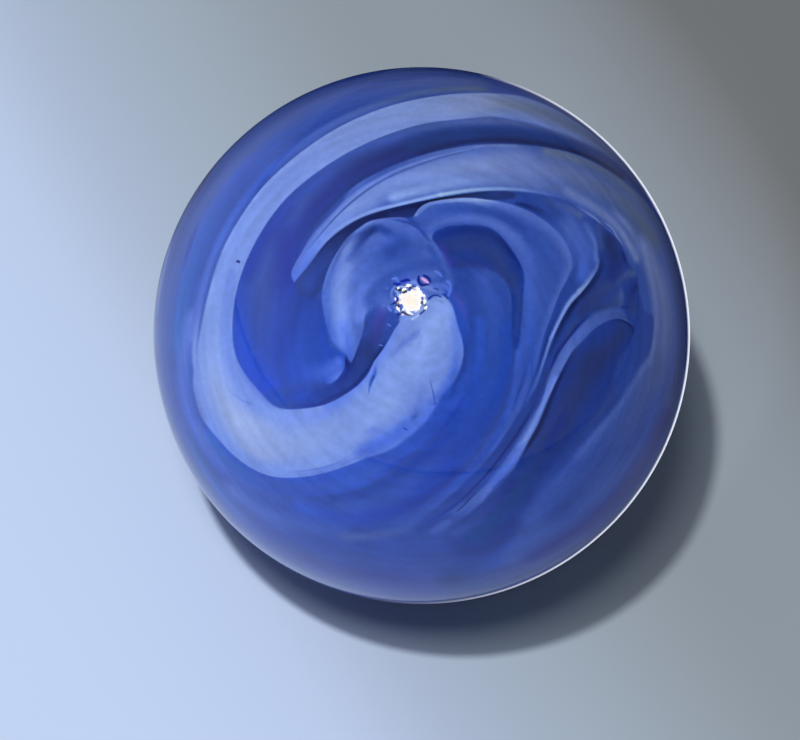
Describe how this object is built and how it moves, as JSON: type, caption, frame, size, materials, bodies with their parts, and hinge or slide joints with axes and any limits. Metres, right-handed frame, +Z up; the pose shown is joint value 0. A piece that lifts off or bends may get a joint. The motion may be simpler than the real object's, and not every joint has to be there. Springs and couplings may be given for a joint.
{
  "type": "glass marble",
  "caption": "Round glass marble, polished all over, in cobalt blue glass with sky-blue and navy glass folded through it in a swirl that winds round one eye.",
  "frame": {"origin": "centre of the ball", "axes": "+Z up. The eye of the swirl looks out along -Y, tipped up by 57 degrees. +X is to the right of someone who faces the eye"},
  "size_m": [0.016, 0.016, 0.016],
  "materials": {
    "swirl_glass": "polished opaque glass, swirled in cobalt, sky blue and navy"
  },
  "bodies": {
    "root": {"marble": "swirl_glass"}
  },
  "joints": []
}
